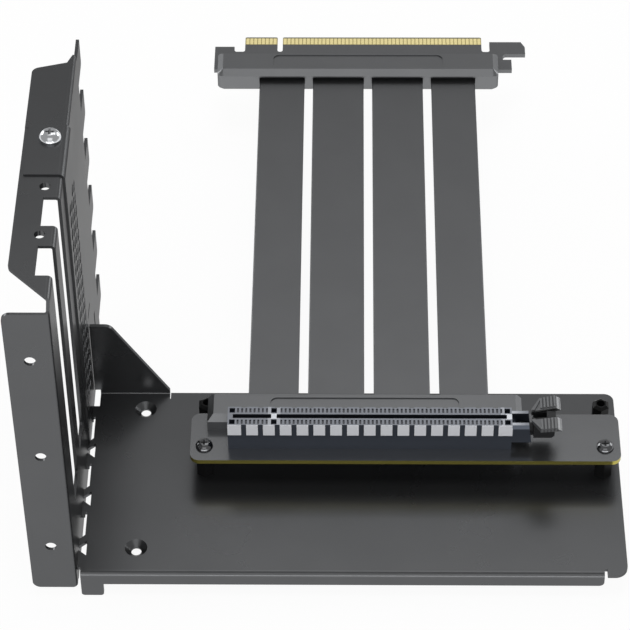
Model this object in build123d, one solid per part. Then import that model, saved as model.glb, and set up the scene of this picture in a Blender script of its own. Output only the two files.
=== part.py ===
"""A vertical graphics-card mount for a computer case, in millimetres.

The sheet-metal frame takes the place of the case's slot covers: a flange with three case screws, a wall
with open card slots, a vent plate with tongues, and a base plate that carries the slot board. Four flat
cables lead from the slot board to the plug board, which goes into the motherboard.

Everything is drawn from three datum faces: x from the wall's inner face, y from the case flange's front
face and z from the base plate's top. It is then moved so that the origin is the middle case hole, on the
flange's front face, with +Z up.
"""
import os
from math import atan2, tan

from build123d import *

# Card slots of the case
slot_pitch = 20.32
slot_opening = 12.0
open_slots = 2
first_slot_y = 13.35
slot_bottom_z = 19.0
slot_reach_over_fold = 5.0
slot_corner = 1.0

# Folded sheet
sheet = 1.0
bend_inside = 0.5
wall_height = 116.0
wall_bottom_z = -6.8
wall_depth = 75.85
lap_radius = sheet + bend_inside

# Case flange
flange_width = 13.75
flange_bottom_z = -5.85
flange_drop = 2.4
flange_corner = 2.5
case_hole_d = 3.4
case_hole_pitch = 40.64
case_hole_inset = 6.85
middle_hole_z = 54.2

# Top flange
top_flange_width = 12.85
top_flange_front_y = 4.2
top_flange_slant_y = 16.4
top_flange_corner = 3.0
tapped_hole_d = 3.2
tapped_collar_d = 4.6
tapped_collar_drop = 1.0
tapped_hole_inset = 4.9
last_tapped_inset = 5.11
tapped_holes = 3

# Opening in the wall behind the vent
window_length = 17.9
window_inset = 0.95
window_z = (8.0, 102.0)
window_corner = 2.0

# Vent plate
vent_sheet = 1.0
vent_lap = 0.6
vent_past_window = 2.15
vent_tab_width = 11.55
vent_flange_width = 12.9
vent_flange_from_rear = 6.7
vent_flange_slant = 2.9
vent_flange_corner = 2.5
vent_length = 34.05
vent_over_base = 0.4
lap_end_gap = 0.15
tongues = 6
tongue_length = 10.4
tongue_height = 9.7
tongue_drop = 2.75
tongue_corner = 1.3
perforation_across = 3.6
perforation_pitch = 5.0
perforation_inset = 2.5
perforation_z = (13.0, 98.0)
perforation_columns = 4
vent_screw_hole_d = 3.8
slit_y = (81.0, 88.6)
slit_z = 29.6
slit_height = 1.3
notch_y = (97.0, 99.0)
notch_z = (10.0, 16.0)

# Base plate
base_sheet = 1.2
base_right_x = 169.7
base_front_y = 0.5
base_rear_y = 76.9
base_front_corner = 4.0
base_rear_corner = 3.0
base_bend = base_sheet + 0.4
lip_x = (1.0, 162.5)
lip_bottom_z = -5.0
lip_corner = 1.6
foot_x = (1.0, 7.9)
foot_bottom_z = -10.3
foot_corner = 1.0
relief_width = 0.9
relief_depth = 2.6
gusset_x = (2.65, 25.3)
gusset_proud = 0.9
gusset_foot_z = 1.7
gusset_top_z = 31.0
gusset_edge_x = 0.8
gusset_relief = 0.3
gusset_knee_x = 7.3
gusset_knee_radius = 3.0
dimple_x = 17.75
dimple_y = (11.0, 69.6)
dimple_d = 7.0
dimple_hole_d = 3.2
dimple_depth = 1.7

# Windows between the base plate and the wall, repeated with the slot pitch
wall_gaps = 3
gap_front_y = 14.6
gap_length = 10.9
gap_width = 1.6
gap_taper = 1.6
wedge_front_y = 28.2
wedge_length = 5.8
wedge_width = 2.4
rear_window_y = 70.9
tenon_front_y = 24.2
tenon_length = 3.4
tenon_gap = 0.1

# Standoffs and the screws of the slot board
standoff_x = (38.1, 164.35)
standoff_front_y = 43.1
standoff_across = 5.0
standoff_chamfer = 0.8
standoff_height = 10.0
standoff_bore_d = 2.6
standoff_bore_depth = 7.0
standoff_foot_across = 3.8
foot_gap = 0.05
board_screw_head_d = 5.5
board_screw_head = 1.8
board_screw_d = 2.4
board_screw_reach = 5.0
screw_bevel = 0.6
board_hole_d = 3.2

# Bright screw on the vent plate's tab
bracket_screw_head_d = 6.9
bracket_screw_head = 2.7
bracket_screw_d = 3.0
bracket_screw_reach = 4.4

# Slot board
board_sheet = 1.6
board_x = (33.7, 169.2)
board_y = (37.1, 57.07)
board_corner = 3.0

# Card edge, the same for the slot and the plug
edge_short = 11.65
edge_key = 1.9
edge_long = 71.65

# Slot housing
housing_left_x = 45.7
housing_end_wall = 1.925
housing_y = (42.1, 49.4)
housing_height = 11.1
pad_proud = 0.3
pad_height = 4.6
pad_gap = 1.6
pad_pitch = 5.26
pads = 17
card_slot_width = 1.65
card_slot_depth = 8.0
card_slot_spare = 0.3
key_width = 1.7
cavity_pitch = 1.3
cavity_size = (0.6, 1.75)
cavity_depth = 1.5
cavity_offset = 2.43
cavity_row_inset = 0.5
pocket_size = (1.75, 1.9)
pocket_depth = 3.0
pocket_inset = 1.4
ear_reach = 6.15
ear_taper = 0.9
ear_inside = 3.9
ear_bevel = 0.9
ear_z = (3.6, 10.5)

# Retention latch
pivot_from_housing = 3.2
pivot_height = 5.6
pivot_pin_d = 1.8
pivot_pin_depth = 1.0
pivot_gap = 0.15
hub_r = 1.7
arm_height = 2.2
arm_lap = 1.2
latch_side_gap = 0.25
wing_start = 6.1
wing_end = 15.25
wing_lift = 0.6
wing_rise = 1.75
wing_thickness = 1.2
wing_split = (1.15, 1.85)
wing_root_y = 2.4
wing_knee_y = 6.6
wing_tip_y = 7.1
wing_knee = 2.6
wing_tip_slope = 1.4
wing_ribs = 5
rib_start_x = 3.05
rib_start_y = 2.4
rib_pitch = 1.05
rib_height = 0.45
rib_width = 0.6
leg_x = (6.75, 13.3)
leg_y = (1.15, 3.5)
leg_bottom = 5.2
leg_corner = 0.9
bridge_x = (10.8, 13.6)
bridge_height = 0.8
bridge_lap = 0.3

# Shells over the cable ends
shell_chamfer = 1.95
slot_shell_past_housing = (6.8, 3.75)
slot_shell_rear_chamfer = 0.55
slot_shell_front_gap = 0.2
slot_shell_rear_y = 60.7
slot_shell_top_z = 17.3
slot_shell_bottom_z = 7.8
plug_shell_x = (36.5, 136.6)
plug_shell_y = (213.0, 224.5)
plug_shell_top_z = 21.4
plug_shell_bottom_z = 11.9
plug_shell_rear_chamfer = 1.2
plug_shell_corner = 2.2
shell_gap = 0.15
panel_end = 19.9
panel_front = 2.5
panel_rear = 1.9
panel_depth = 0.4
panel_corner = 2.2
shell_screw_inset = 5.6
slot_shell_screw_inset = 3.6
plug_shell_screw_inset = 2.6
shell_screw_cover = 2.0
shell_screw_d = 1.8
shell_screw_head_d = 3.6
shell_screw_head = 1.2
shell_screw_gap = 0.1

# Flat cables
cable_x = ((51.6, 67.6), (70.6, 88.6), (91.6, 109.6), (112.6, 128.2))
cable_thickness = 1.2
cable_gap = 0.1
cable_slot_z = 13.0
cable_level_run = 9.0
cable_mouth_rise = 2.3
cable_mouth_depth = 3.0

# Plug board
plug_sheet = 1.6
plug_middle_z = 16.6
plug_front_y = 219.3
plug_edge_y = 237.7
plug_edge_x = 45.9
plug_left_x = 35.1
ear_right_x = 42.1
ear_rear_y = 231.85
notch_floor_y = 229.1
notch_radius = 0.9
hook_left_x = 134.0
hook_right_x = 146.7
hook_rear_y = 234.6
hook_corner = 1.4
hook_drop_y = 231.8
hook_gap_y = (224.8, 227.9)
hook_gap_x = (138.6, 139.5)
tab_right_x = 141.6
finger_pitch = 1.4
finger_gap = 0.35
finger_length = 3.3
finger_thickness = 0.1
edge_bevel_y = 1.3
edge_bevel_z = 0.45
edge_corner = 0.5

# Worked out from the sizes above
flange_height = wall_height - flange_drop
edge_length = edge_short + edge_key + edge_long
housing_x = (housing_left_x, housing_left_x + edge_length + 2 * housing_end_wall)
slot_shell_x = (housing_x[0] - slot_shell_past_housing[0], housing_x[1] + slot_shell_past_housing[1])
gusset_rear_y = base_rear_y + gusset_proud
window_y = (wall_depth - window_inset - window_length, wall_depth - window_inset)
vent_rear_y = wall_depth + vent_length
vent_flange_rear_y = vent_rear_y - vent_flange_from_rear
board_top_z = standoff_height + board_sheet
housing_middle_y = sum(housing_y) / 2
housing_top_z = board_top_z + housing_height
origin = Pos(case_hole_inset, 0, -middle_hole_z)


def block(x, y, z):
    """A box given by its two limits along each axis."""
    size = (x[1] - x[0], y[1] - y[0], z[1] - z[0])
    return Pos(x[0], y[0], z[0]) * Box(*size, align=(Align.MIN,) * 3)


def rounded_slab(x, y, z, axis, radius):
    """A box with the four edges along one axis rounded."""
    box = block(x, y, z)
    return fillet(box.edges().filter_by(axis), radius)


def rod(diameter, x, y, z):
    """An upright cylinder between two heights."""
    low = (Align.CENTER, Align.CENTER, Align.MIN)
    return Pos(x, y, z[0]) * Cylinder(diameter / 2, z[1] - z[0], align=low)


def prism(points, height, plane):
    """A straight-sided solid on a plane, from its outline."""
    return extrude(plane * make_face(Polyline(*points, close=True)), height)


def angle(leg_x, leg_y, thickness, radius):
    """An angle section with its rounded outer corner at the origin and its legs along -X and -Y."""
    outline = Polyline(
        (0, 0),
        (0, -leg_y),
        (-thickness, -leg_y),
        (-thickness, -thickness),
        (-leg_x, -thickness),
        (-leg_x, 0),
        close=True,
    )
    section = make_face(outline)
    section = fillet(section.vertices().sort_by_distance((0, 0, 0))[0], radius)
    inner = section.vertices().sort_by_distance((-thickness, -thickness, 0))[0]
    return fillet(inner, radius - thickness)


def wall_fold(corner_x, corner_z, width, bottom_z, y, thickness, radius):
    """A wall with a flange folded outwards along its top."""
    section = angle(width, corner_z - bottom_z, thickness, radius)
    return Pos(corner_x, y[1], corner_z) * Rot(90, 0, 0) * extrude(section, y[1] - y[0])


def slot_starts():
    """The front edge of each open card slot."""
    return [first_slot_y + i * slot_pitch for i in range(open_slots)]


def tapped_places():
    """Where the card screws go in the top flange."""
    last = wall_depth - last_tapped_inset
    return [last - i * slot_pitch for i in reversed(range(tapped_holes))]


def tenon_starts():
    """The front edge of each tenon that locks the base plate in the wall."""
    return [tenon_front_y + i * slot_pitch for i in range(wall_gaps)]


def case_flange():
    """The narrow flange with the case screws, folded from the wall."""
    section = mirror(angle(flange_width, wall_depth, sheet, lap_radius), Plane.XZ)
    flange = Pos(0, 0, flange_bottom_z) * extrude(section, flange_height - flange_bottom_z)
    outer = flange.edges().filter_by(Axis.Y).group_by(Axis.X)[0]
    return fillet(outer, flange_corner)


def top_flange_wall():
    """The wall and its top flange, with the flange's front cut on the slant."""
    y = (top_flange_front_y, wall_depth)
    fold = wall_fold(0, wall_height, top_flange_width, wall_bottom_z, y, sheet, lap_radius)
    outline = Polyline(
        (sheet, y[0]),
        (-sheet, y[0]),
        (-top_flange_width, top_flange_slant_y),
        (-top_flange_width, y[1]),
        (sheet, y[1]),
        close=True,
    )
    plan = make_face(outline)
    corner = plan.vertices().sort_by_distance((-top_flange_width, top_flange_slant_y, 0))[0]
    plan = fillet(corner, top_flange_corner)
    return fold & (Pos(0, 0, wall_bottom_z) * extrude(plan, wall_height - wall_bottom_z))


def slot_bracket():
    """The folded bracket: case flange, slotted wall and top flange."""
    front = top_flange_front_y
    gore = ((lap_radius, flange_height), (front, wall_height), (front, flange_height))
    bracket = case_flange() + top_flange_wall() + prism(gore, -sheet, Plane.YZ)
    for y in slot_starts():
        opening = rounded_slab(
            (-slot_reach_over_fold, sheet),
            (y, y + slot_opening),
            (slot_bottom_z, wall_height + sheet + slot_corner),
            Axis.X,
            slot_corner,
        )
        bracket -= opening
    bracket -= rounded_slab((-2 * sheet, sheet), window_y, window_z, Axis.X, window_corner)
    for i in (-1, 0, 1):
        hole = Rot(90, 0, 0) * Cylinder(case_hole_d / 2, 4 * sheet)
        bracket -= Pos(-case_hole_inset, 0, middle_hole_z + i * case_hole_pitch) * hole
    collar_z = (wall_height - sheet - tapped_collar_drop, wall_height)
    for y in tapped_places():
        bracket += rod(tapped_collar_d, -tapped_hole_inset, y, (collar_z[0], wall_height - sheet))
        bracket -= rod(tapped_hole_d, -tapped_hole_inset, y, collar_z)
    for y in tenon_starts():
        mortise_y = (y - tenon_gap, y + tenon_length + tenon_gap)
        bracket -= block((-2 * sheet, sheet), mortise_y, (-base_sheet - tenon_gap, tenon_gap))
    return bracket


def perforations():
    """Hexagonal vent holes in staggered columns."""
    column_step = perforation_pitch * 3**0.5 / 2
    rows = int((perforation_z[1] - perforation_z[0]) / perforation_pitch) + 1
    hexagon = RegularPolygon(perforation_across / 2, 6, major_radius=False)
    centres = []
    for column in range(perforation_columns):
        shift = perforation_pitch / 2 if column % 2 else 0
        for row in range(rows - column % 2):
            z = perforation_z[0] + shift + row * perforation_pitch
            centres.append((window_y[0] + perforation_inset + column * column_step, z))
    holes = [place * hexagon for place in Locations(*centres).locations]
    return extrude(Plane.YZ * Sketch(children=holes), 2 * vent_sheet, both=True)


def vent_plate():
    """The thin vented plate: a lap on the bracket, a joggle, and tongues on the rear edge."""
    lap_y = (window_y[0] - vent_past_window, wall_depth + lap_end_gap + vent_sheet)
    lap = wall_fold(
        vent_lap,
        wall_height + vent_lap,
        vent_tab_width + vent_lap,
        vent_over_base,
        lap_y,
        vent_lap,
        lap_radius + vent_lap,
    )
    rear_y = (wall_depth + lap_end_gap, vent_rear_y)
    rear = wall_fold(0, wall_height, vent_flange_width, wall_bottom_z, rear_y, vent_sheet, lap_radius)
    outline = Polyline(
        (sheet, rear_y[0]),
        (-vent_flange_width, rear_y[0]),
        (-vent_flange_width, vent_flange_rear_y),
        (-vent_sheet - lap_radius, vent_flange_rear_y + vent_flange_slant),
        (-vent_sheet, rear_y[1]),
        (sheet, rear_y[1]),
        close=True,
    )
    plan = make_face(outline)
    corner = plan.vertices().sort_by_distance((-vent_flange_width, vent_flange_rear_y, 0))[0]
    plan = fillet(corner, vent_flange_corner)
    rear &= Pos(0, 0, wall_bottom_z) * extrude(plan, wall_height - wall_bottom_z)
    plate = lap + rear
    for i in range(tongues):
        top = wall_height - tongue_drop - i * slot_pitch
        tongue_y = (vent_rear_y - vent_sheet, vent_rear_y + tongue_length)
        tongue = block((-vent_sheet, 0), tongue_y, (top - tongue_height, top))
        low_tip = tongue.edges().filter_by(Axis.X).group_by(Axis.Z)[0].sort_by(Axis.Y)[-1]
        plate += fillet(low_tip, tongue_corner)
    plate -= perforations()
    tab_z = (wall_height, wall_height + vent_lap)
    plate -= rod(vent_screw_hole_d, -tapped_hole_inset, tapped_places()[-1], tab_z)
    through = (-2 * vent_sheet, 2 * vent_sheet)
    plate -= block(through, slit_y, (slit_z - slit_height / 2, slit_z + slit_height / 2))
    plate -= block(through, notch_y, notch_z)
    return plate


def wall_side_windows():
    """The gaps along the wall: a long one with a pointed front and a wedge, for each card slot."""
    cuts = Part()
    for i in range(wall_gaps):
        y = gap_front_y + i * slot_pitch
        rear = y + gap_length
        long_gap = ((-1, y), (0, y), (gap_width, y + gap_taper), (gap_width, rear), (-1, rear))
        cuts += prism(long_gap, -base_sheet, Plane.XY)
        y = wedge_front_y + (i - 1) * slot_pitch
        wedge = ((-1, y + wedge_length / 2), (wedge_width, y), (wedge_width, y + wedge_length))
        cuts += prism(wedge, -base_sheet, Plane.XY)
    return cuts


def dimple(x, y):
    """The pressed cone under a countersunk hole, and the room inside it."""
    top = dimple_d / 2
    bore = dimple_hole_d / 2
    skin = base_sheet
    outside = revolve(
        Plane.XZ
        * make_face(
            Polyline((0, 0), (top + skin, 0), (top + skin, -skin), (bore + skin, -dimple_depth - skin / 2),
                     (0, -dimple_depth - skin / 2), close=True)
        ),
        Axis.Z,
    )
    inside = revolve(
        Plane.XZ
        * make_face(
            Polyline((0, 0), (top, 0), (bore, -dimple_depth), (bore, -dimple_depth - skin),
                     (0, -dimple_depth - skin), close=True)
        ),
        Axis.Z,
    )
    return Pos(x, y, 0) * outside, Pos(x, y, 0) * inside


def front_lip():
    """The lip folded down along the front, with its foot at the wall."""
    section = mirror(angle(4 * base_bend, -lip_bottom_z, base_sheet, base_bend), Plane.YZ)
    length = lip_x[1] - lip_x[0]
    lip = Pos(lip_x[0], base_front_y, 0) * extrude(Plane.YZ * section, length)
    low_end = lip.edges().filter_by(Axis.Y).group_by(Axis.Z)[0].sort_by(Axis.X)[-1]
    lip = fillet(low_end, lip_corner)
    foot = rounded_slab(
        foot_x,
        (base_front_y, base_front_y + base_sheet),
        (foot_bottom_z, lip_bottom_z + 2 * foot_corner),
        Axis.Y,
        foot_corner,
    )
    return lip + foot


def gusset():
    """The stiffening gusset folded up at the rear, beside the wall."""
    height = gusset_top_z + base_sheet
    section = angle(4 * base_bend, height, base_sheet, base_bend)
    section = mirror(section, Plane.XZ)
    width = gusset_x[1] - gusset_edge_x
    fold = Pos(gusset_edge_x, gusset_rear_y, -base_sheet) * extrude(Plane.YZ * section, width)
    outline = Polyline(
        (gusset_x[0], -base_sheet),
        (gusset_x[0], gusset_foot_z),
        (gusset_edge_x, gusset_foot_z),
        (gusset_edge_x, gusset_top_z),
        (gusset_knee_x, gusset_top_z),
        (gusset_x[1], base_sheet),
        (gusset_x[1], -base_sheet),
        close=True,
    )
    shape = make_face(outline)
    shape = fillet(shape.vertices().sort_by_distance((gusset_knee_x, gusset_top_z, 0))[0], gusset_knee_radius)
    return fold & (Pos(0, gusset_rear_y, 0) * extrude(Plane.XZ * shape, 8 * base_bend))


def base_plate():
    """The folded base: plate, front lip, foot, gusset, dimples and the comb along the wall."""
    plate = block((0, base_right_x), (base_front_y, base_rear_y), (-base_sheet, 0))
    right = plate.edges().filter_by(Axis.Z).group_by(Axis.X)[-1].sort_by(Axis.Y)
    plate = fillet(right[-1], base_rear_corner)
    right = plate.edges().filter_by(Axis.Z).group_by(Axis.X)[-1].sort_by(Axis.Y)
    plate = fillet(right[0], base_front_corner)
    front_trim = (base_front_y - 1, base_front_y + relief_depth)
    plate -= block((-1, lip_x[1] + relief_width), front_trim, (-2 * base_sheet, 1))
    rear_trim = (base_rear_y - relief_depth, base_rear_y + 1)
    plate -= block((-1, gusset_x[1] + gusset_relief), rear_trim, (-2 * base_sheet, 1))
    plate -= block((-1, gusset_x[0]), (rear_window_y, base_rear_y + 1), (-2 * base_sheet, 1))
    plate -= wall_side_windows()
    plate += front_lip() + gusset()
    for y in tenon_starts():
        plate += block((-sheet, 1), (y, y + tenon_length), (-base_sheet, 0))
    for y in dimple_y:
        outside, inside = dimple(dimple_x, y)
        plate = plate + outside - inside
    for x, y in standoff_places():
        plate -= hex_post(standoff_foot_across + 2 * foot_gap, x, y, (-2 * base_sheet, 1))
    return plate


def standoff_places():
    """The four standoffs: the front pair under the board, then the free pair one slot further back."""
    return [(x, standoff_front_y + row * slot_pitch) for row in (0, 1) for x in standoff_x]


def hex_post(across, x, y, z):
    """An upright hexagonal bar between two heights, with a corner to the front."""
    hexagon = RegularPolygon(across / 2, 6, major_radius=False, rotation=30)
    return Pos(x, y, z[0]) * extrude(hexagon, z[1] - z[0])


def standoff(x, y):
    """A threaded hexagonal post with a tapered top and its foot pressed into the base plate."""
    post = hex_post(standoff_across, x, y, (0, standoff_height))
    post = chamfer(post.edges().group_by(Axis.Z)[-1], standoff_chamfer)
    post += hex_post(standoff_foot_across, x, y, (-base_sheet, 0))
    bore_bottom = standoff_height - standoff_bore_depth
    return post - rod(standoff_bore_d, x, y, (bore_bottom, standoff_height))


def pan_screw(head_d, head, shank_d, reach):
    """A screw with a bevelled round head, with its head's seat at z = 0."""
    crown = rod(head_d, 0, 0, (0, head))
    crown = chamfer(crown.edges().group_by(Axis.Z)[-1], screw_bevel)
    return crown + rod(shank_d, 0, 0, (-reach, 0))


def slot_board():
    """The slot end's circuit board, with its screw holes."""
    board = rounded_slab(board_x, board_y, (standoff_height, board_top_z), Axis.Z, board_corner)
    for x in standoff_x:
        board -= rod(board_hole_d, x, standoff_front_y, (standoff_height, board_top_z))
    for x in slot_shell_screws():
        hole_d = shell_screw_d + 2 * shell_screw_gap
        board -= rod(hole_d, x, slot_shell_y()[0] + slot_shell_screw_inset, (standoff_height, board_top_z))
    return board


def edge_runs(start):
    """The short and the long run of contacts of a card edge, each as its start and its length."""
    return ((start, edge_short), (start + edge_short + edge_key, edge_long))


def spread(start, length, pitch):
    """Places at an even pitch about the middle of a length, as many as it holds."""
    count = int(length / pitch)
    return [start + length / 2 + (i - (count - 1) / 2) * pitch for i in range(count)]


def card_edge_start():
    """Where the card's contact edge starts in the slot housing."""
    return housing_x[0] + housing_end_wall


def contact_cavities():
    """The contact cavities along both sides of the card slot, with larger pockets at the ends and the key."""
    cavities = []
    for start, length in edge_runs(card_edge_start()):
        cavities += spread(start + cavity_row_inset, length - 2 * cavity_row_inset, cavity_pitch)
    key_x = card_edge_start() + edge_short + edge_key / 2
    pockets = (housing_x[0] + pocket_inset, key_x, housing_x[1] - pocket_inset)
    cuts = Part()
    for places, size, depth in ((cavities, cavity_size, cavity_depth), (pockets, pocket_size, pocket_depth)):
        centres = [(x, housing_middle_y + side * cavity_offset) for side in (-1, 1) for x in places]
        mouths = [place * Rectangle(*size) for place in Locations(*centres).locations]
        cuts += Pos(0, 0, housing_top_z) * extrude(Sketch(children=mouths), -depth)
    return cuts


def window_pads(side_y):
    """The row of pads that stand proud along the top of one side."""
    z = (housing_top_z - pad_height, housing_top_z)
    row = block(housing_x, side_y, z)
    for i in range(pads - 1):
        x = sum(housing_x) / 2 + (i - pads / 2 + 1) * pad_pitch
        row -= block((x - pad_gap / 2, x + pad_gap / 2), side_y, z)
    return row


def ear(side):
    """One ear that carries the latch, with a blind hole for its pin on the inner face."""
    low, high = (board_top_z + z for z in ear_z)
    end = housing_x[1] + ear_reach
    profile = ((housing_x[1], low), (end, low), (end - ear_taper, high), (housing_x[1], high))
    inner = housing_middle_y + side * ear_inside / 2
    thickness = (housing_y[1] - housing_y[0] - ear_inside) / 2 + pad_proud
    plate = Pos(0, inner, 0) * prism(profile, -side * thickness, Plane.XZ)
    top = plate.edges().filter_by(Axis.X).group_by(Axis.Z)[-1]
    plate = chamfer(top.sort_by_distance((end, housing_middle_y, high))[-1], ear_bevel)
    bore = Cylinder(pivot_pin_d / 2 + pivot_gap, ear_inside + 2 * (pivot_pin_depth + pivot_gap))
    return plate - pivot_place() * Rot(90, 0, 0) * bore


def slot_housing():
    """The card slot's moulding: window pads, card slot, key, cavities and the ears of the latch."""
    z = (board_top_z, housing_top_z)
    housing = block(housing_x, housing_y, z)
    housing += window_pads((housing_y[0] - pad_proud, housing_y[0]))
    housing += window_pads((housing_y[1], housing_y[1] + pad_proud))
    slot_y = (housing_middle_y - card_slot_width / 2, housing_middle_y + card_slot_width / 2)
    slot_z = (z[1] - card_slot_depth, z[1])
    start = card_edge_start()
    housing -= block((start - card_slot_spare, start + edge_length + card_slot_spare), slot_y, slot_z)
    key_x = start + edge_short + edge_key / 2
    housing += block((key_x - key_width / 2, key_x + key_width / 2), slot_y, slot_z)
    return housing - contact_cavities() + ear(-1) + ear(1)


def pivot_place():
    """The latch's pivot, which runs along Y."""
    return Pos(housing_x[1] + pivot_from_housing, housing_middle_y, board_top_z + pivot_height)


def wing_middle_z(x):
    """The height of the middle of a wing's thickness."""
    slope = wing_rise / (wing_end - wing_start)
    return housing_top_z + wing_lift - wing_thickness / 2 + slope * (x - housing_x[1] - wing_start)


def wing(side):
    """One ribbed wing of the latch, to the rear (+1) or the front (-1) of the card's plane."""
    root_x = housing_x[1] + wing_start
    tip_x = housing_x[1] + wing_end
    outline = (
        (root_x, wing_split[0]),
        (tip_x, wing_split[1]),
        (tip_x, wing_tip_y),
        (root_x + wing_knee, wing_knee_y),
        (root_x, wing_root_y),
    )
    rim = (
        (root_x, wing_root_y),
        (root_x + wing_knee, wing_knee_y),
        (root_x + wing_knee + rib_width, wing_knee_y),
        (root_x + rib_width, wing_split[0]),
        (root_x, wing_split[0]),
    )
    column, rim_column = (
        prism([(x, housing_middle_y + side * y) for x, y in plan], 3 * housing_height, Plane.XY)
        for plan in (outline, rim)
    )
    half = wing_thickness / 2
    flat_x = tip_x - wing_tip_slope
    thick = (
        (root_x, wing_middle_z(root_x) - half),
        (tip_x, wing_middle_z(tip_x) - half),
        (flat_x, wing_middle_z(flat_x) + half),
        (root_x, wing_middle_z(root_x) + half),
    )
    slab = extrude(Plane.XZ * make_face(Polyline(*thick, close=True)), wing_tip_y, both=True)
    slab = Pos(0, housing_middle_y, 0) * slab
    raised = rim_column & (Pos(0, 0, rib_height) * slab)
    ribs_y = sorted(housing_middle_y + side * y for y in (rib_start_y, wing_tip_y))
    for i in range(wing_ribs):
        x = root_x + rib_start_x + i * rib_pitch
        z = (wing_middle_z(x), wing_middle_z(x) + half + rib_height)
        raised += block((x - rib_width / 2, x + rib_width / 2), ribs_y, z)
    return column & (slab + raised)


def latch_leg(side):
    """The block under a wing, which the hub's arm carries."""
    x = [housing_x[1] + reach for reach in leg_x]
    low = board_top_z + leg_bottom
    profile = (
        (x[0], low),
        (x[1] - leg_corner, low),
        (x[1], low + leg_corner),
        (x[1], wing_middle_z(x[1])),
        (x[0], wing_middle_z(x[0])),
    )
    inner = housing_middle_y + side * leg_y[0]
    return Pos(0, inner, 0) * prism(profile, side * (leg_y[0] - leg_y[1]), Plane.XZ)


def slot_latch():
    """The lever that holds the card: hub, pins and arm between the ears, two legs, two wings and a bridge."""
    half_width = ear_inside / 2 - latch_side_gap
    hub = pivot_place() * Rot(90, 0, 0) * Cylinder(hub_r, 2 * half_width)
    pins = pivot_place() * Rot(90, 0, 0) * Cylinder(pivot_pin_d / 2, ear_inside + 2 * pivot_pin_depth)
    arm_x = (housing_x[1] + pivot_from_housing, housing_x[1] + leg_x[0] + arm_lap)
    arm_y = (housing_middle_y - half_width, housing_middle_y + half_width)
    pivot_z = board_top_z + pivot_height
    latch = hub + pins + block(arm_x, arm_y, (pivot_z - arm_height / 2, pivot_z + arm_height / 2))
    for side in (-1, 1):
        latch += wing(side) + latch_leg(side)
    bridge_y = (housing_middle_y - wing_split[1] - bridge_lap, housing_middle_y + wing_split[1] + bridge_lap)
    middle_z = wing_middle_z(housing_x[1] + bridge_x[0])
    bridge_z = (middle_z - bridge_height / 2, middle_z + bridge_height / 2)
    return latch + block([housing_x[1] + x for x in bridge_x], bridge_y, bridge_z)


def slot_shell_y():
    """The front and rear of the slot end's shells."""
    return (housing_y[1] + pad_proud + slot_shell_front_gap, slot_shell_rear_y)


def slot_shell_screws():
    """The two screws of the slot end's shells."""
    return (slot_shell_x[0] + shell_screw_inset, slot_shell_x[1] - shell_screw_inset)


def plug_shell_screws():
    """The two screws of the plug end's shells."""
    return (plug_shell_x[0] + shell_screw_inset, plug_shell_x[1] - shell_screw_inset)


def cable_rooms(middle_z, y, rise):
    """The flat openings for the four cables, up to a height above their middle."""
    half = cable_thickness / 2 + cable_gap
    rooms = Part()
    for x in cable_x:
        rooms += block((x[0] - cable_gap, x[1] + cable_gap), y, (middle_z - half, middle_z + max(half, rise)))
    return rooms


def shell_screw(x, y, z):
    """A small screw from below, with its head flush in the lower shell."""
    head = rod(shell_screw_head_d, x, y, (z[0], z[0] + shell_screw_head))
    return head + rod(shell_screw_d, x, y, (z[0] + shell_screw_head, z[1] - shell_screw_cover))


def shell_screw_room(x, y, z):
    """The counterbore and hole for one of those screws."""
    head = rod(shell_screw_head_d + 2 * shell_screw_gap, x, y, (z[0], z[0] + shell_screw_head))
    hole_top = z[1] - shell_screw_cover + shell_screw_gap
    return head + rod(shell_screw_d + 2 * shell_screw_gap, x, y, (z[0], hole_top))


def bevelled(body, rear_chamfer):
    """A shell's block with its rims bevelled, the top's rear rim by its own size."""
    top = body.edges().group_by(Axis.Z)[-1].sort_by(Axis.Y)
    body = chamfer(top[:-1] + body.edges().group_by(Axis.Z)[0], shell_chamfer)
    rear = body.edges().group_by(Axis.Z)[-1].sort_by(Axis.Y)[-1]
    return chamfer(rear, rear_chamfer)


def shell_pair(whole, split_z, board_z, board_y):
    """The two halves of a moulded shell over a board, with a sunk panel on top."""
    box = whole.bounding_box()
    x = (box.min.X, box.max.X)
    y = (box.min.Y, box.max.Y)
    z = (box.min.Z, box.max.Z)
    panel_x = (x[0] + panel_end, x[1] - panel_end)
    panel_y = (y[0] + panel_front, y[1] - panel_rear)
    whole -= rounded_slab(panel_x, panel_y, (z[1] - panel_depth, z[1] + panel_depth), Axis.Z, panel_corner)
    above_split = block(x, y, (split_z, z[1]))
    above_board = block(x, board_y, (board_z[1], z[1]))
    upper = whole & (above_split + above_board)
    upper -= block(x, board_y, (z[0], board_z[1]))
    lower = whole - above_split - block(x, board_y, (board_z[0], z[1]))
    return upper, lower


def slot_shells():
    """The shells over the cables' slot end."""
    y = slot_shell_y()
    z = (slot_shell_bottom_z, slot_shell_top_z)
    board_z = (standoff_height, board_top_z)
    under_y = (y[0], board_y[1] + shell_gap)
    whole = bevelled(block(slot_shell_x, y, z), slot_shell_rear_chamfer)
    cuts = cable_rooms(cable_slot_z, (under_y[1], y[1]), 0)
    for x in slot_shell_screws():
        cuts += shell_screw_room(x, y[0] + slot_shell_screw_inset, z)
    return [half - cuts for half in shell_pair(whole, cable_slot_z, board_z, under_y)]


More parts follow.
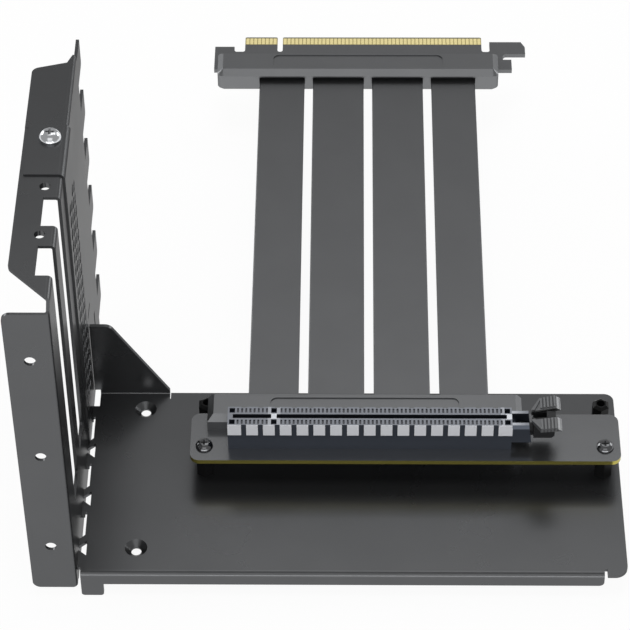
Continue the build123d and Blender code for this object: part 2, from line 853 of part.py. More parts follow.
def plug_shells():
    """The shells over the cables' plug end, open above each cable in front."""
    y = plug_shell_y
    z = (plug_shell_bottom_z, plug_shell_top_z)
    over_y = (plug_front_y - shell_gap, y[1])
    body = block(plug_shell_x, y, z)
    body = fillet(body.edges().filter_by(Axis.Z).group_by(Axis.Y)[0], plug_shell_corner)
    whole = bevelled(body, plug_shell_rear_chamfer)
    cuts = cable_rooms(plug_middle_z, (y[0], over_y[0]), 0)
    cuts += cable_rooms(plug_middle_z, (y[0], y[0] + cable_mouth_depth), cable_mouth_rise)
    for x in plug_shell_screws():
        cuts += shell_screw_room(x, y[1] - plug_shell_screw_inset, z)
    return [half - cuts for half in shell_pair(whole, plug_middle_z, plug_board_z(), over_y)]


def screw_set(places, y, z):
    """The screws of one pair of shells, as separate solids."""
    return Compound(children=[Part(shell_screw(x, y, z).wrapped) for x in places])


def ribbon_cable(x):
    """One flat cable, level inside both shells and straight between them."""
    start = board_y[1] + 2 * shell_gap
    end = plug_front_y - 2 * shell_gap
    points = (
        (0, start, cable_slot_z),
        (0, start + cable_level_run, cable_slot_z),
        (0, end - cable_level_run, plug_middle_z),
        (0, end, plug_middle_z),
    )
    turn = atan2(plug_middle_z - cable_slot_z, points[2][1] - points[1][1])
    radius = 0.45 * cable_level_run / tan(turn / 2)
    path = FilletPolyline(*points, radius=radius)
    middle = sum(x) / 2
    section = Plane(origin=(0, start, cable_slot_z), x_dir=(1, 0, 0), z_dir=(0, 1, 0))
    ribbon = sweep(section * Rectangle(x[1] - x[0], cable_thickness), path=path)
    print(f"cable bends: {radius:.0f} mm radius, path {path.length:.1f} mm")
    return Pos(middle, 0, 0) * ribbon


def plug_board_z():
    """The underside and top of the plug board."""
    return (plug_middle_z - plug_sheet / 2, plug_middle_z + plug_sheet / 2)


def open_notch(x, floor_y, radius):
    """A notch from the card edge with a rounded floor."""
    return rounded_slab(x, (floor_y, plug_edge_y + 4 * radius), plug_board_z(), Axis.Z, radius)


def plug_board():
    """The plug board: contact edge with its key notch, left ear, and the hook on the right."""
    z = plug_board_z()
    thickness = plug_sheet
    edge_x = plug_edge_x + edge_length
    profile = (
        (plug_front_y, z[0]),
        (plug_edge_y - edge_bevel_y, z[0]),
        (plug_edge_y, z[0] + edge_bevel_z),
        (plug_edge_y, z[1] - edge_bevel_z),
        (plug_edge_y - edge_bevel_y, z[1]),
        (plug_front_y, z[1]),
    )
    body = Pos(plug_left_x, 0, 0) * prism(profile, edge_x - plug_left_x, Plane.YZ)
    body -= block((plug_left_x - 1, plug_edge_x), (ear_rear_y, plug_edge_y + 1), z)
    body -= open_notch((ear_right_x, plug_edge_x), notch_floor_y, notch_radius)
    key_x = plug_edge_x + edge_short
    body -= open_notch((key_x, key_x + edge_key), notch_floor_y, notch_radius)
    hook = (
        (edge_x - 1, plug_front_y),
        (tab_right_x, plug_front_y),
        (tab_right_x, hook_gap_y[0]),
        (hook_gap_x[0], hook_gap_y[0]),
        (hook_gap_x[0], hook_gap_y[1] - hook_gap_x[1] + hook_gap_x[0]),
        (hook_gap_x[1], hook_gap_y[1]),
        (hook_right_x, hook_gap_y[1]),
        (hook_right_x, hook_drop_y),
        (hook_right_x - hook_corner, hook_rear_y),
        (edge_x - 1, hook_rear_y),
    )
    board = body + Pos(0, 0, z[0]) * prism(hook, thickness, Plane.XY)
    board -= open_notch((edge_x, hook_left_x), notch_floor_y, notch_radius)
    corners = board.edges().group_by(Axis.Y)[-1].filter_by(Axis.Z)
    board = chamfer(corners, edge_corner)
    for x in plug_shell_screws():
        board -= rod(shell_screw_d + 2 * shell_screw_gap, x, plug_shell_y[1] - plug_shell_screw_inset, z)
    return board


def plug_fingers():
    """The gold contacts on both faces of the plug board's edge."""
    end_y = plug_edge_y - edge_bevel_y
    y = (end_y - finger_length, end_y)
    z = plug_board_z()
    half = (finger_pitch - finger_gap) / 2
    fingers = []
    for start, length in edge_runs(plug_edge_x):
        for x in spread(start, length, finger_pitch):
            fingers.append(block((x - half, x + half), y, (z[1], z[1] + finger_thickness)))
            fingers.append(block((x - half, x + half), y, (z[0] - finger_thickness, z[0])))
    return Compound(children=fingers)


def board_screw(x):
    """A dark screw that holds the slot board on its standoff."""
    screw = pan_screw(board_screw_head_d, board_screw_head, board_screw_d, board_sheet + board_screw_reach)
    return Pos(x, standoff_front_y, board_top_z) * screw


def bracket_screw():
    """The bright screw that holds the vent plate's tab on the bracket."""
    screw = pan_screw(bracket_screw_head_d, bracket_screw_head, bracket_screw_d, bracket_screw_reach)
    return Pos(-tapped_hole_inset, tapped_places()[-1], wall_height + vent_lap) * screw


def export(name, solid):
    """Writes one piece, moved to the mount's own frame."""
    placed = origin * solid
    placed.label = name
    export_step(placed, f"parts/{name}.step")


def main():
    """Builds and writes every piece."""
    os.makedirs("parts", exist_ok=True)
    export("slot_bracket", slot_bracket())
    export("vent_plate", vent_plate())
    export("bracket_screw", bracket_screw())
    export("base_plate", base_plate())
    corners = ("front_left", "front_right", "rear_left", "rear_right")
    for corner, place in zip(corners, standoff_places()):
        export(f"standoff_{corner}", standoff(*place))
    for side, x in zip(("left", "right"), standoff_x):
        export(f"board_screw_{side}", board_screw(x))
    export("slot_board", slot_board())
    export("slot_housing", slot_housing())
    export("slot_latch", slot_latch())
    for half, shell in zip(("top", "bottom"), slot_shells()):
        export(f"slot_cover_{half}", shell)
    for half, shell in zip(("top", "bottom"), plug_shells()):
        export(f"plug_cover_{half}", shell)
    slot_y = slot_shell_y()[0] + slot_shell_screw_inset
    slot_z = (slot_shell_bottom_z, slot_shell_top_z)
    export("slot_cover_screws", screw_set(slot_shell_screws(), slot_y, slot_z))
    plug_y = plug_shell_y[1] - plug_shell_screw_inset
    plug_z = (plug_shell_bottom_z, plug_shell_top_z)
    export("plug_cover_screws", screw_set(plug_shell_screws(), plug_y, plug_z))
    for number, x in enumerate(cable_x, start=1):
        export(f"ribbon_cable_{number}", ribbon_cable(x))
    export("plug_board", plug_board())
    export("plug_fingers", plug_fingers())


main()
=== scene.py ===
"""Looks of the vertical graphics-card mount, in metres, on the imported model's frame.

The photograph's black parts mirror the room like dark satin metal. Their tones are therefore the share of
light that they mirror, and the softboxes stand where the photograph's highlights come from.
"""
import math
from typing import NamedTuple

import bmesh
import bpy
from mathutils import Matrix, Vector


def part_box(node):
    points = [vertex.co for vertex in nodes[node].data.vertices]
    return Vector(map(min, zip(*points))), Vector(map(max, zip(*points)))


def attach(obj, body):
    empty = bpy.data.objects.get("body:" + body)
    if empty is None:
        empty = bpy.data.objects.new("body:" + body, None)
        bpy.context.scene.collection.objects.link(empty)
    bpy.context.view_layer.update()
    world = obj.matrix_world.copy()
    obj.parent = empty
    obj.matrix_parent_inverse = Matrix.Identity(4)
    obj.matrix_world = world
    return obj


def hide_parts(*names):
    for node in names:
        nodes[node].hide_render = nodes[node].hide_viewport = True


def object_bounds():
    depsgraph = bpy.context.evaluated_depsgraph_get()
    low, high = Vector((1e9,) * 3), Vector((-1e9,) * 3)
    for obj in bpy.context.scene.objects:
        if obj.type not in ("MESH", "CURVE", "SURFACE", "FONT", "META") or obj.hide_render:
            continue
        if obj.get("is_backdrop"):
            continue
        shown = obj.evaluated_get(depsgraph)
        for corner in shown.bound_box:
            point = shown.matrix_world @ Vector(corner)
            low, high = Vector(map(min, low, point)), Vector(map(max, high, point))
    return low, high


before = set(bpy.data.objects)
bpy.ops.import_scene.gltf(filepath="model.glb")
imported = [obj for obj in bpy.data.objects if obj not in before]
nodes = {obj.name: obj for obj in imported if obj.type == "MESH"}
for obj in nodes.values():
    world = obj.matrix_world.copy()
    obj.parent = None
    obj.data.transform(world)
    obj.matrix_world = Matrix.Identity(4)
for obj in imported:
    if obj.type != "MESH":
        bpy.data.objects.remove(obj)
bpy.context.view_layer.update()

# Datum faces of the part, in the frame
WALL_X = 0.00685
BASE_Z = -0.0542

# Camera, fitted to the photograph: place, angles in degrees, focal length in the photograph's pixels
CAMERA_AT = (0.09095, -0.55334, 0.61809)
CAMERA_PITCH = 45.256
CAMERA_TURN = -1.022
CAMERA_ROLL = 0.591
FOCAL_PIXELS = 2821.1
PHOTO_PIXELS = 630
SENSOR_WIDTH_MM = 36
NEAREST_SEEN = 0.01
FARTHEST_SEEN = 20

# Flat cables, from x to x, and their route in y and z
CABLE_X = ((0.0516, 0.0676), (0.0706, 0.0886), (0.0916, 0.1096), (0.1126, 0.1282))
CABLE_ROUTE = ((0.05737, 0.013), (0.06637, 0.013), (0.21, 0.0166), (0.219, 0.0166))
CABLE_THICKNESS = 0.0012
CABLE_ROUNDING = CABLE_THICKNESS * 0.3

# Card slot: its housing's ends, middle line and top, and the raised pads on its front
SLOT_X = (0.0457, 0.13475)
SLOT_MIDDLE_Y = 0.04575
SLOT_FRONT_Y = 0.0421
SLOT_TOP_Z = 0.0227
SLOT_PAD_HEIGHT = 0.0046
SLOT_METALLIC = 0.85
PAD_METALLIC = 0.05
FACE_PLAY = 0.0001

# Painted highlights on the slot's top: key and end wall in the middle row, ribs beside them, fading ears
SLOT_KEY_X = 0.060225
MIDDLE_ROW_HALF = 0.0011
KEY_HALF = 0.001
END_WALL = 0.002
KEY_RIBS = ((-0.0019, -0.0009), (0.0009, 0.002))
END_RIB = (-0.0034, -0.0023)
RIB_PAINTED_HIGHLIGHT = 0.35
EAR_FADE = 0.0045
EAR_PAINTED_HIGHLIGHT = 0.6

# Slot contacts: the runs' middles and counts, and one contact's size
CONTACT_RUNS = ((0.05345, 8), (0.0970, 54))
CONTACT_PITCH = 0.0013
CONTACT_OFFSET = 0.00243
CONTACT_SIZE = (0.00044, 0.0015, 0.0011)
CONTACT_DROP = 0.0003

# Latch: its ribs, from the housing's end, and its bridge
LATCH_RIBS_X = 0.00885
LATCH_RIB_PITCH = 0.00105
LATCH_RIB_SHARE = 0.58
LATCH_BRIDGE_HALF = 0.0019

# Gold edge of the plug board
PLUG_GOLD_Y = (0.2331, 0.2365)
PLUG_GOLD_PAST_FINGERS = 0.001

# Screw heads: diameter and height
BOARD_HEAD = (0.0055, 0.0018)
BRACKET_HEAD = (0.0069, 0.0027)

# A screw's form: (radius, height) pairs in shares of the head's, and its cross recess
HEAD_PROFILE = (
    (0.97, 0), (1, 0.08), (0.98, 0.26), (0.92, 0.46), (0.82, 0.66), (0.69, 0.83), (0.55, 0.95), (0.44, 1),
)
SHANK_SHARE = 0.42
SHANK_TIP_SHARE = 0.8
SHANK_TIP_BEVEL = 0.1
CROSS_ARM = 0.1
CROSS_REACH = 0.4
CROSS_DEPTH = 0.3
CROSS_TAPER = 0.55
SCREW_STEPS = 40
SHARP_EDGE = math.radians(35)

# Colours
COOL_GREY = (0.98, 1, 1.03)
LAMINATE = (0.46, 0.4, 0.09)
GOLD_GROUND = (0.7, 0.6, 0.28)
GOLD_BEVEL = (0.2, 0.19, 0.12)
# Painted light and shade on one moulding: darker colour for its sides, paler colour for its top
SLOT_SHADED_SIDE = ((0.095, 0.108, 0.135), (0.11, 0.125, 0.155))
SLOT_TOP = ((0.27, 0.285, 0.32), (0.3, 0.315, 0.35))
SLOT_PAD = (0.62, 0.63, 0.66)
# Painted highlight on the tops of the slot's key, end wall, ribs and ears
SLOT_PAINTED_HIGHLIGHT = (0.85, 0.88, 0.93)

# Tones: the darkest and palest of the boards' mask and of the latch, then the latch's painted shade
# between its ribs and on its bridge and legs
MASK_TONES = (0.18, 0.2)
LATCH_TONES = (0.19, 0.22)
LATCH_VALLEY_SHADE = 0.12
LATCH_SHADED = 0.045

# Slow changes of tone and gloss over a grained surface, and its fine grain
TONE_CHANGE = 0.06
TONE_SCALE = 60
GLOSS_CHANGE = 0.06
GLOSS_SCALE = 35
GRAIN_HEIGHT = 0.00002
GRAIN_STRENGTH = 0.2


class Finish(NamedTuple):
    """A grained surface: tone, gloss, how metallic, glancing shine, grain scale and tint."""

    level: float
    roughness: float
    metallic: float
    rim: float = 0.4
    grain: float = 2500
    tint: tuple = COOL_GREY


FINISHES = {
    "powder_coat": Finish(0.12, 0.28, 0.9, rim=0.38),
    "shell_plastic": Finish(0.22, 0.3, 0.9, grain=1800),
    "cable_jacket": Finish(0.165, 0.34, 0.92, grain=1200),
    "gold_plate": Finish(0.94, 0.35, 0.4, rim=1, tint=(1.04, 0.9, 0.44)),
    "contact_metal": Finish(0.12, 0.4, 0.9, tint=(1, 1.02, 1.12)),
    "bright_zinc": Finish(0.75, 0.16, 1.0, rim=1),
    # Painted shade: a darker copy of bright_zinc for the bright screw's cross recess
    "bright_recess_painted_shade": Finish(0.3, 0.5, 0.8, rim=0.3),
    "black_oxide": Finish(0.17, 0.14, 1.0, rim=1),
    # Painted shade: a darker copy of black_oxide for the black screws' cross recesses
    "dark_recess_painted_shade": Finish(0.05, 0.5, 0.8, rim=0.3),
    "black_post": Finish(0.012, 0.4, 0.5, rim=0.3),
}

# Studio: the room's brightness, and the floor's half width, grey and share seen as white
ROOM_BRIGHTNESS = 0.38
FLOOR_SIZE = 6
FLOOR_GREY = (0.9, 0.9, 0.9, 1)
FLOOR_ROUGHNESS = 0.9
FLOOR_WHITE = 0.94
CENTRE = (0.09, 0.1, -0.04)


class Softbox(NamedTuple):
    """A soft lamp: place, aim, width and height, brightness, and whether reflections show it."""

    place: tuple
    aim: tuple
    size: tuple
    radiance: float
    mirrored: bool = True


SOFTBOXES = {
    "overhead": Softbox((0.42, 0.8, 1.35), (0.42, 0.8, 0), (1.3, 0.8), 1.1),
    "fill": Softbox((0.05, -0.15, 1.7), CENTRE, (0.6, 0.6), 9, mirrored=False),
    "front": Softbox((0.1, -1.3, 1.3), CENTRE, (1.5, 1.0), 0.65),
    "horizon": Softbox((0.1, -1.8, 0.22), CENTRE, (2.6, 0.5), 3.2),
    "left": Softbox((-1.0, 1.0, 0.45), CENTRE, (0.7, 0.6), 3.5),
    "right": Softbox((1.25, 0.95, 0.45), CENTRE, (0.7, 0.6), 3),
}


def add_object(name, data):
    """A new object in the scene."""
    made = bpy.data.objects.new(name, data)
    bpy.context.scene.collection.objects.link(made)
    return made


def make_camera():
    """The photograph's camera."""
    data = bpy.data.cameras.new("camera")
    data.sensor_width = SENSOR_WIDTH_MM
    data.lens = FOCAL_PIXELS / PHOTO_PIXELS * data.sensor_width
    data.clip_start = NEAREST_SEEN
    data.clip_end = FARTHEST_SEEN
    camera = add_object("camera", data)
    turn = Matrix.Rotation(math.radians(-CAMERA_TURN), 4, "Z")
    tilt = Matrix.Rotation(math.radians(90 - CAMERA_PITCH), 4, "X")
    roll = Matrix.Rotation(math.radians(-CAMERA_ROLL), 4, "Z")
    camera.matrix_world = Matrix.Translation(CAMERA_AT) @ turn @ tilt @ roll
    bpy.context.scene.camera = camera


class Nodes:
    """A material's node tree, with short calls to add and link nodes."""

    def __init__(self, name):
        self.material = bpy.data.materials.new(name)
        self.material.use_nodes = True
        self.tree = self.material.node_tree
        self.shader = self.tree.nodes["Principled BSDF"]

    def add(self, kind, **settings):
        node = self.tree.nodes.new(kind)
        for key, value in settings.items():
            setattr(node, key, value)
        return node

    def link(self, output, target):
        self.tree.links.new(output, target)

    def feed(self, socket, value):
        """Sets a socket to a number or a colour, or links it."""
        if isinstance(value, (int, float)):
            socket.default_value = value
        elif isinstance(value, tuple):
            socket.default_value = (*value, 1)
        else:
            self.link(value, socket)

    def math(self, operation, *values):
        node = self.add("ShaderNodeMath", operation=operation)
        for socket, value in zip(node.inputs, values):
            self.feed(socket, value)
        return node.outputs[0]

    def mix(self, factor, first, second):
        """A colour between two colours."""
        node = self.add("ShaderNodeMix", data_type="RGBA")
        factor_in, first_in, second_in = node.inputs[0], node.inputs[6], node.inputs[7]
        for socket, value in ((factor_in, factor), (first_in, first), (second_in, second)):
            self.feed(socket, value)
        return node.outputs[2]

    def noise(self, scale, detail):
        coordinates = self.add("ShaderNodeTexCoord")
        noise = self.add("ShaderNodeTexNoise")
        noise.inputs["Scale"].default_value = scale
        noise.inputs["Detail"].default_value = detail
        self.link(coordinates.outputs["Object"], noise.inputs["Vector"])
        return noise.outputs["Fac"]

    def bump(self, height, strength):
        bump = self.add("ShaderNodeBump")
        bump.inputs["Strength"].default_value = strength
        bump.inputs["Distance"].default_value = GRAIN_HEIGHT
        self.link(height, bump.inputs["Height"])
        self.link(bump.outputs["Normal"], self.shader.inputs["Normal"])

    def parts(self, kind):
        """The x, y and z of the Object place or of the Normal."""
        coordinates = self.add("ShaderNodeTexCoord")
        split = self.add("ShaderNodeSeparateXYZ")
        self.link(coordinates.outputs[kind], split.inputs[0])
        return split.outputs

    def within(self, value, low, high):
        return self.math("COMPARE", value, (low + high) / 2, (high - low) / 2)

    def above(self, value, limit):
        return self.math("GREATER_THAN", value, limit)

    def below(self, value, limit):
        return self.math("LESS_THAN", value, limit)

    def both(self, first, second):
        return self.math("MULTIPLY", first, second)

    def either(self, first, second):
        return self.math("MAXIMUM", first, second)

    def surface(self, tone, roughness, metallic):
        for name, value in (("Base Color", tone), ("Roughness", roughness), ("Metallic", metallic)):
            self.feed(self.shader.inputs[name], value)


def shade(value, tint=COOL_GREY):
    """A grey with a slight tint."""
    return tuple(value * part for part in tint)


def grained(name):
    """A satin finish with a fine grain and a slow change of tone and gloss."""
    finish = FINISHES[name]
    made = Nodes(name)
    made.shader.inputs["Specular Tint"].default_value = (finish.rim, finish.rim, finish.rim, 1)
    darkest = shade(finish.level * (1 - TONE_CHANGE), finish.tint)
    palest = shade(finish.level * (1 + TONE_CHANGE), finish.tint)
    tone = made.mix(made.noise(TONE_SCALE, 3), darkest, palest)
    glossiest = finish.roughness - GLOSS_CHANGE / 2
    gloss = made.math("MULTIPLY_ADD", made.noise(GLOSS_SCALE, 4), GLOSS_CHANGE, glossiest)
    made.surface(tone, gloss, finish.metallic)
    made.bump(made.noise(finish.grain, 4), GRAIN_STRENGTH)
    return made.material


def mask_tone(made):
    """The slightly uneven tone of a board's dark mask."""
    darkest, palest = MASK_TONES
    return made.mix(made.noise(80, 3), shade(darkest), shade(palest))


def solder_mask():
    """The slot board's dark mask, with its bare laminate edge."""
    made = Nodes("solder_mask")
    normal_z = made.parts("Normal")[2]
    side = made.below(made.math("ABSOLUTE", normal_z), 0.5)
    made.surface(made.mix(side, mask_tone(made), LAMINATE), roughness=0.24, metallic=0.9)
    made.bump(made.noise(900, 3), 0.08)
    return made.material


def plug_mask():
    """The plug board: dark mask, and an olive gold ground and bevel under the contacts."""
    made = Nodes("plug_mask")
    x, y, _ = made.parts("Object")
    edge = made.below(x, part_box("plug_fingers")[1].x + PLUG_GOLD_PAST_FINGERS)
    contacts = made.both(edge, made.within(y, *PLUG_GOLD_Y))
    bevel = made.both(edge, made.above(y, PLUG_GOLD_Y[1]))
    tone = made.mix(contacts, mask_tone(made), GOLD_GROUND)
    made.surface(made.mix(bevel, tone, GOLD_BEVEL), roughness=0.3, metallic=0.85)
    made.bump(made.noise(900, 3), 0.08)
    return made.material


def slot_painted_highlights(made, x, y, up):
    """Where a highlight is painted on the slot's top: its key, end wall, ribs and ears."""
    right = WALL_X + SLOT_X[1]
    key = WALL_X + SLOT_KEY_X
    row = made.within(y, SLOT_MIDDLE_Y - MIDDLE_ROW_HALF, SLOT_MIDDLE_Y + MIDDLE_ROW_HALF)
    key_wall = made.within(x, key - KEY_HALF, key + KEY_HALF)
    end_wall = made.within(x, right - END_WALL, right + FACE_PLAY)
    ribs = made.within(x, right + END_RIB[0], right + END_RIB[1])
    for low, high in KEY_RIBS:
        ribs = made.either(ribs, made.within(x, key + low, key + high))
    fade = made.math("MULTIPLY_ADD", x, -1 / EAR_FADE, (right + EAR_FADE) / EAR_FADE)
    ears = made.both(made.above(x, right), made.math("MAXIMUM", fade, 0))
    # Painted highlight on the ribs and ears, fainter than on the key and end wall
    edges = made.either(made.math("MULTIPLY", ribs, RIB_PAINTED_HIGHLIGHT), made.math("MULTIPLY", ears, EAR_PAINTED_HIGHLIGHT))
    return made.both(up, made.either(made.both(row, made.either(key_wall, end_wall)), edges))


def slot_plastic():
    """Blue-grey moulding of the card slot with paler pads; painted light on its top, painted shade on its
    sides, painted highlights on key, end wall, ribs and ears.
    """
    made = Nodes("slot_plastic")
    x, y, z = made.parts("Object")
    up = made.above(made.parts("Normal")[2], 0.9)
    on_body = made.below(x, WALL_X + SLOT_X[1] + FACE_PLAY)
    high = made.above(z, BASE_Z + SLOT_TOP_Z - SLOT_PAD_HEIGHT - FACE_PLAY)
    pads = made.both(made.below(y, SLOT_FRONT_Y - FACE_PLAY), made.both(on_body, high))
    grain = made.noise(90, 3)
    # Painted light and shade: the paler colour on up-facing faces, the darker colour on the rest
    tone = made.mix(up, made.mix(grain, *SLOT_SHADED_SIDE), made.mix(grain, *SLOT_TOP))
    tone = made.mix(pads, tone, SLOT_PAD)
    # Painted highlight on the up-facing faces of the key, end wall, ribs and ears
    tone = made.mix(slot_painted_highlights(made, x, y, up), tone, SLOT_PAINTED_HIGHLIGHT)
    metallic = made.math("MULTIPLY_ADD", pads, PAD_METALLIC - SLOT_METALLIC, SLOT_METALLIC)
    made.surface(tone, roughness=0.3, metallic=metallic)
    made.bump(made.noise(1500, 3), 0.1)
    return made.material


def latch_plastic():
    """Grey moulding of the latch, with painted shade between its ribs, on its bridge and on its legs."""
    made = Nodes("latch_plastic")
    x, y, z = made.parts("Object")
    first = WALL_X + SLOT_X[1] + LATCH_RIBS_X
    turn = made.math("FRACT", made.math("DIVIDE", made.math("SUBTRACT", x, first), LATCH_RIB_PITCH))
    valley_shade = made.both(made.above(x, first), made.above(turn, LATCH_RIB_SHARE))
    bridge = made.within(y, SLOT_MIDDLE_Y - LATCH_BRIDGE_HALF, SLOT_MIDDLE_Y + LATCH_BRIDGE_HALF)
    legs = made.below(z, BASE_Z + SLOT_TOP_Z - FACE_PLAY)
    darkest, palest = LATCH_TONES
    tone = made.mix(made.noise(90, 3), shade(darkest), shade(palest))
    # Painted shade in the valleys between the ribs, and on the bridge and legs
    tone = made.mix(valley_shade, tone, shade(LATCH_VALLEY_SHADE))
    tone = made.mix(made.either(bridge, legs), tone, shade(LATCH_SHADED))
    made.surface(tone, roughness=0.38, metallic=0.8)
    made.bump(made.noise(1600, 3), 0.1)
    return made.material


def dress(material, *names):
    """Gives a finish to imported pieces."""
    for name in names:
        slots = nodes[name].data.materials
        slots.clear()
        slots.append(material)


def dress_frame():
    """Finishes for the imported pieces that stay."""
    dress(grained("powder_coat"), "slot_bracket", "vent_plate", "base_plate")
    posts = [f"standoff_{row}_{side}" for row in ("front", "rear") for side in ("left", "right")]
    dress(grained("black_post"), *posts, "slot_cover_screws", "plug_cover_screws")
    dress(solder_mask(), "slot_board")
    dress(plug_mask(), "plug_board")
    dress(slot_plastic(), "slot_housing")
    dress(latch_plastic(), "slot_latch")
    shells = [f"{end}_cover_{half}" for end in ("slot", "plug") for half in ("top", "bottom")]
    dress(grained("shell_plastic"), *shells)
    dress(grained("gold_plate"), "plug_fingers")


def route_line(points):
    """Points along a smooth curve through the route."""
    curve = bpy.data.curves.new("route", "CURVE")
    curve.dimensions = "3D"
    spline = curve.splines.new("NURBS")
    spline.points.add(len(points) - 1)
    for target, point in zip(spline.points, points):
        target.co = (*point, 1)
    spline.order_u = 3
    spline.use_endpoint_u = True
    holder = add_object("route", curve)
    bpy.context.view_layer.update()
    mesh = bpy.data.meshes.new_from_object(holder)
    line = [vertex.co.copy() for vertex in mesh.vertices]
    bpy.data.objects.remove(holder)
    bpy.data.meshes.remove(mesh)
    return line


def solid(name, shape, material):
    """Turns a bmesh into an object with one material."""
    mesh = bpy.data.meshes.new(name)
    shape.to_mesh(mesh)
    shape.free()
    mesh.materials.append(material)
    return add_object(name, mesh)


def mounted(name, shape, material):
    """Turns a bmesh into a piece that rides on the mount."""
    piece = solid(name, shape, material)
    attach(piece, "mount")
    return piece


def runs_along(edge):
    """Whether an edge is one of a cable's long, sharp edges."""
    start, end = edge.verts
    return abs((start.co - end.co).y) > 1e-5 and edge.calc_face_angle(0) > 1


def flat_cable(number, x, material):
    """One flat cable along its route, with rounded long edges."""
    middle, width = WALL_X + sum(x) / 2, x[1] - x[0]
    line = route_line([(middle, y, BASE_Z + z) for y, z in CABLE_ROUTE])
    shape = bmesh.new()
    bmesh.ops.create_grid(shape, x_segments=1, y_segments=len(line) - 1, size=0.5)
    rows = sorted({round(vertex.co.y, 6) for vertex in shape.verts})
    for vertex in shape.verts:
        place = line[rows.index(round(vertex.co.y, 6))]
        vertex.co = place + Vector((vertex.co.x * width, 0, -CABLE_THICKNESS / 2))
    bmesh.ops.solidify(shape, geom=shape.faces[:], thickness=-CABLE_THICKNESS)
    bmesh.ops.recalc_face_normals(shape, faces=shape.faces[:])
    bmesh.ops.bevel(
        shape,
        geom=[edge for edge in shape.edges if runs_along(edge)],
        offset=CABLE_ROUNDING,
        segments=2,
        profile=0.5,
        affect="EDGES",
        material=-1,
    )
    cable = mounted(f"flat_cable_{number}", shape, material)
    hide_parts(f"ribbon_cable_{number}")


def cables():
    """The four flat cables."""
    material = grained("cable_jacket")
    for number, x in enumerate(CABLE_X, start=1):
        flat_cable(number, x, material)


def flat_cap(shape, z):
    """The faces of a shape's flat top."""
    return [face for face in shape.faces if abs(face.calc_center_median().z - z) < 1e-7]


def cut_cross(shape, z, arm, reach, depth):
    """Sinks a tapered cross recess into a flat top; its floor and walls get the second material, a
    painted shade.
    """
    for axis in (Vector((1, 0, 0)), Vector((0, 1, 0))):
        for place in (-reach, -arm, arm, reach):
            faces = flat_cap(shape, z)
            edges = {edge for face in faces for edge in face.edges}
            corners = {vertex for face in faces for vertex in face.verts}
            geometry = [*faces, *edges, *corners]
            bmesh.ops.bisect_plane(shape, geom=geometry, plane_co=axis * place, plane_no=axis)
    cross = []
    for face in flat_cap(shape, z):
        middle = face.calc_center_median()
        across, along = sorted((abs(middle.x), abs(middle.y)))
        if along < reach and across < arm:
            cross.append(face)
    sunk = bmesh.ops.extrude_face_region(shape, geom=cross)["geom"]
    bmesh.ops.delete(shape, geom=cross, context="FACES_ONLY")
    floor = [item for item in sunk if isinstance(item, bmesh.types.BMVert)]
    bmesh.ops.scale(shape, vec=(CROSS_TAPER, CROSS_TAPER, 1), verts=floor)
    bmesh.ops.translate(shape, vec=(0, 0, -depth), verts=floor)
    for face in {face for vertex in floor for face in vertex.link_faces}:
        face.material_index = 1


def screw_profile(radius, height, tip_z):
    """Half of a screw's outline, from the middle of its tip to the rim of its flat top."""
    shank = radius * SHANK_SHARE
    tip = shank * SHANK_TIP_SHARE
    stem = [(0, tip_z), (tip, tip_z), (shank, tip_z + height * SHANK_TIP_BEVEL), (shank, 0)]
    return stem + [(radius * across, height * up) for across, up in HEAD_PROFILE]


def turned(profile):
    """A closed shape turned from a profile around Z."""
    shape = bmesh.new()
    points = [shape.verts.new((r, 0, z)) for r, z in profile]
    lines = [shape.edges.new(pair) for pair in zip(points, points[1:])]
    bmesh.ops.spin(
        shape,
        geom=points + lines,
        cent=(0, 0, 0),
        axis=(0, 0, 1),
        angle=2 * math.pi,
        steps=SCREW_STEPS,
        use_merge=True,
    )
    bmesh.ops.remove_doubles(shape, verts=shape.verts[:], dist=1e-7)
    bmesh.ops.holes_fill(shape, edges=[edge for edge in shape.edges if edge.is_boundary], sides=0)
    return shape


def smooth(shape):
    """Smooth shading with sharp edges kept."""
    bmesh.ops.recalc_face_normals(shape, faces=shape.faces[:])
    for face in shape.faces:
        face.smooth = True
    for edge in shape.edges:
        edge.smooth = edge.calc_face_angle(0) < SHARP_EDGE


def cross_screw(node, head, material, recess_shade):
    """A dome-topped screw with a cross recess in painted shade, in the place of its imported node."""
    low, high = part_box(node)
    radius, height = head[0] / 2, head[1]
    shape = turned(screw_profile(radius, height, low.z - high.z + height))
    cut_cross(shape, height, radius * CROSS_ARM, radius * CROSS_REACH, height * CROSS_DEPTH)
    smooth(shape)
    seat = ((low.x + high.x) / 2, (low.y + high.y) / 2, high.z - height)
    bmesh.ops.translate(shape, vec=seat, verts=shape.verts[:])
    screw = mounted(f"{node}_detail", shape, material)
    screw.data.materials.append(recess_shade)
    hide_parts(node)


def screws():
    """The three screws that show."""
    dark = grained("black_oxide")
    # Painted shade: darker copies of the screws' metals for their cross recesses
    dark_recess_painted_shade = grained("dark_recess_painted_shade")
    cross_screw("board_screw_left", BOARD_HEAD, dark, dark_recess_painted_shade)
    cross_screw("board_screw_right", BOARD_HEAD, dark, dark_recess_painted_shade)
    cross_screw("bracket_screw", BRACKET_HEAD, grained("bright_zinc"), grained("bright_recess_painted_shade"))


def slot_contacts():
    """The spring contacts in the slot's cavities."""
    shape = bmesh.new()
    wide, long, tall = CONTACT_SIZE
    size = Matrix.Diagonal((wide, long, tall, 1))
    z = BASE_Z + SLOT_TOP_Z - CONTACT_DROP - tall / 2
    for middle, count in CONTACT_RUNS:
        for i in range(count):
            x = WALL_X + middle + (i - (count - 1) / 2) * CONTACT_PITCH
            for side in (-1, 1):
                y = SLOT_MIDDLE_Y + side * CONTACT_OFFSET
                bmesh.ops.create_cube(shape, size=1, matrix=Matrix.Translation((x, y, z)) @ size)
    mounted("slot_contacts", shape, grained("contact_metal"))


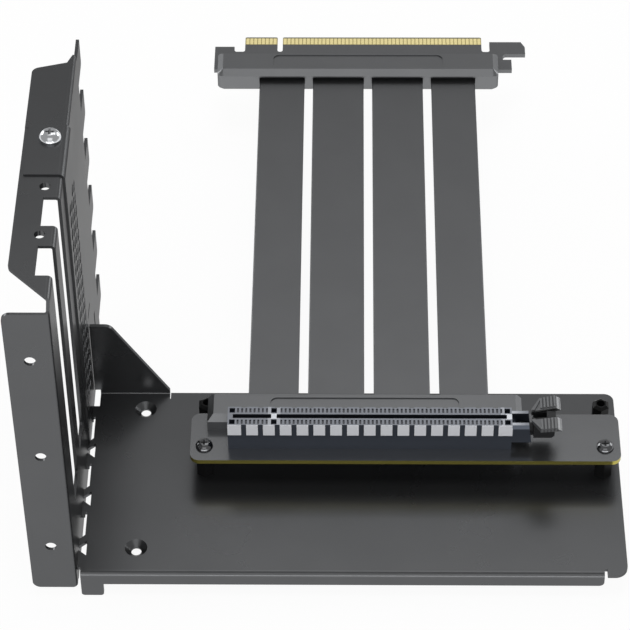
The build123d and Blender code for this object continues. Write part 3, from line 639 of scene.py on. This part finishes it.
def white_ground():
    """A floor that shows white to the camera and in reflections, and keeps a faint shadow."""
    made = Nodes("white_ground")
    made.shader.inputs["Base Color"].default_value = FLOOR_GREY
    made.shader.inputs["Roughness"].default_value = FLOOR_ROUGHNESS
    glow = made.add("ShaderNodeEmission")
    rays = made.add("ShaderNodeLightPath")
    seen = made.either(rays.outputs["Is Camera Ray"], rays.outputs["Is Glossy Ray"])
    mix = made.add("ShaderNodeMixShader")
    made.link(made.math("MULTIPLY", seen, FLOOR_WHITE), mix.inputs[0])
    made.link(made.shader.outputs[0], mix.inputs[1])
    made.link(glow.outputs[0], mix.inputs[2])
    made.link(mix.outputs[0], made.tree.nodes["Material Output"].inputs["Surface"])
    return made.material


def stage():
    """The floor under the part."""
    low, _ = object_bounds()
    shape = bmesh.new()
    bmesh.ops.create_grid(shape, x_segments=1, y_segments=1, size=FLOOR_SIZE)
    bmesh.ops.translate(shape, vec=(0, 0, low.z), verts=shape.verts[:])
    solid("floor", shape, white_ground())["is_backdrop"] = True


def studio_world():
    """A pale room, white behind the part."""
    world = bpy.data.worlds.new("studio")
    world.use_nodes = True
    tree = world.node_tree
    room = tree.nodes["Background"]
    room.inputs["Color"].default_value = (1, 1, 1, 1)
    room.inputs["Strength"].default_value = ROOM_BRIGHTNESS
    white = tree.nodes.new("ShaderNodeBackground")
    rays = tree.nodes.new("ShaderNodeLightPath")
    mix = tree.nodes.new("ShaderNodeMixShader")
    tree.links.new(rays.outputs["Is Camera Ray"], mix.inputs[0])
    tree.links.new(room.outputs[0], mix.inputs[1])
    tree.links.new(white.outputs[0], mix.inputs[2])
    tree.links.new(mix.outputs[0], tree.nodes["World Output"].inputs["Surface"])
    bpy.context.scene.world = world


def lamps():
    """The softboxes: above, in front and at both rear sides, and a plain fill from the top."""
    for name, box in SOFTBOXES.items():
        data = bpy.data.lights.new(name, "AREA")
        data.shape = "RECTANGLE"
        data.size, data.size_y = box.size
        data.energy = box.radiance * math.pi * box.size[0] * box.size[1]
        lamp = add_object(name, data)
        lamp.location = box.place
        lamp.rotation_euler = (Vector(box.aim) - Vector(box.place)).to_track_quat("-Z", "Y").to_euler()
        lamp.visible_glossy = box.mirrored


make_camera()
bpy.context.scene.view_settings.view_transform = "Standard"
dress_frame()
cables()
screws()
slot_contacts()
stage()
studio_world()
lamps()
